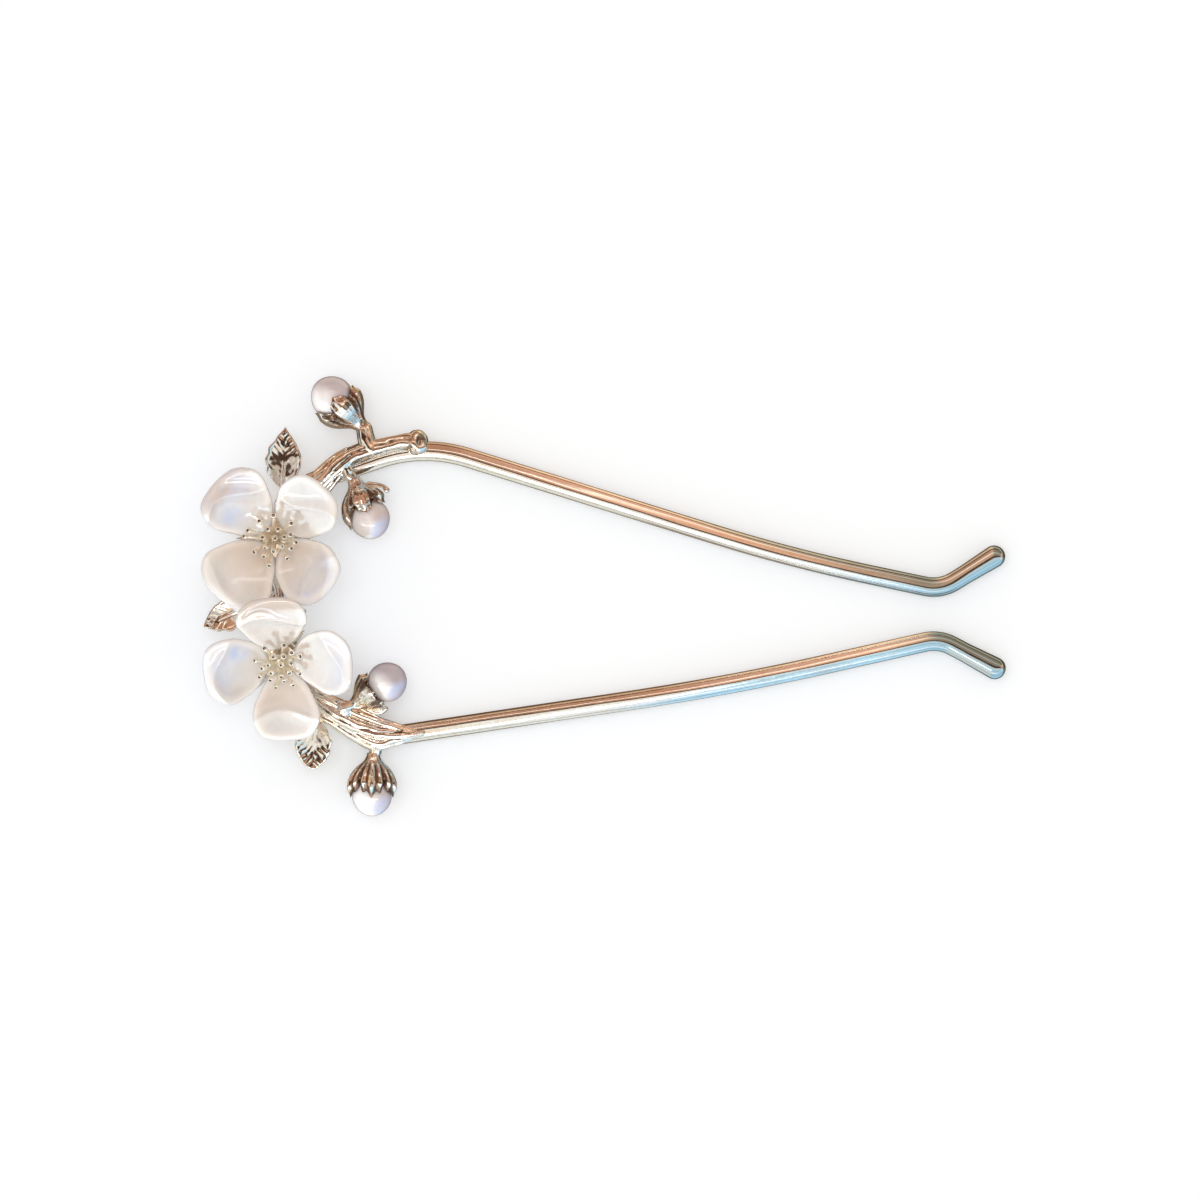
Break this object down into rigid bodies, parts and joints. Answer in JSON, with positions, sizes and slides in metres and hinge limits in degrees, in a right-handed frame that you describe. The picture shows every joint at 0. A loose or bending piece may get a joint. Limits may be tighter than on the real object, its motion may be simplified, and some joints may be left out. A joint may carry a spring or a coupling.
{
  "type": "decorative hair pin",
  "caption": "U-shaped hair fork with a blossoming branch on its crown: opal glass petals, cast leaves and pearl buds.",
  "frame": {"origin": "centre of the bounding box in X and Y, on the plane that the fork lies on", "axes": "+X along the fork from the flowers towards the prong tips, +Y across the prongs towards the upper flower, +Z from the back of the fork up through the flowers"},
  "size_m": [0.1401, 0.0766, 0.0158],
  "materials": {
    "rod_gold": "mirror-polished pale champagne gold plating on zinc alloy",
    "cast_gold": "polished champagne gold plating over a cast bark and leaf relief",
    "stamen_gold": "bright pale gold plating",
    "petal_opal": "glossy milky opal glass with a faint blue and peach sheen",
    "pearl": "glossy translucent pearl with a pink and blue lustre",
    "peg_brass": "plain drawn wire"
  },
  "bodies": {
    "root": {"fork": "rod_gold", "upper_branch": "cast_gold", "crown_stem": "cast_gold", "lower_branch": "cast_gold", "leaf_upper": "cast_gold", "leaf_crown": "cast_gold", "leaf_lower": "cast_gold", "calyx_upper_outer": "cast_gold", "calyx_upper_inner": "cast_gold", "calyx_lower_inner": "cast_gold", "calyx_lower_outer": "cast_gold", "peg_upper_outer": "peg_brass", "peg_upper_inner": "peg_brass", "peg_lower_inner": "peg_brass", "peg_lower_outer": "peg_brass", "pearl_upper_outer": "pearl", "pearl_upper_inner": "pearl", "pearl_lower_inner": "pearl", "pearl_lower_outer": "pearl", "flower_cup_upper": "cast_gold", "flower_cup_lower": "cast_gold", "flower_rivet_upper": "rod_gold", "flower_rivet_lower": "rod_gold", "stamens_upper": "stamen_gold", "stamens_lower": "stamen_gold", "petal_upper_1": "petal_opal", "petal_upper_2": "petal_opal", "petal_upper_3": "petal_opal", "petal_upper_4": "petal_opal", "petal_lower_1": "petal_opal", "petal_lower_2": "petal_opal", "petal_lower_3": "petal_opal", "petal_lower_4": "petal_opal"}
  },
  "joints": []
}
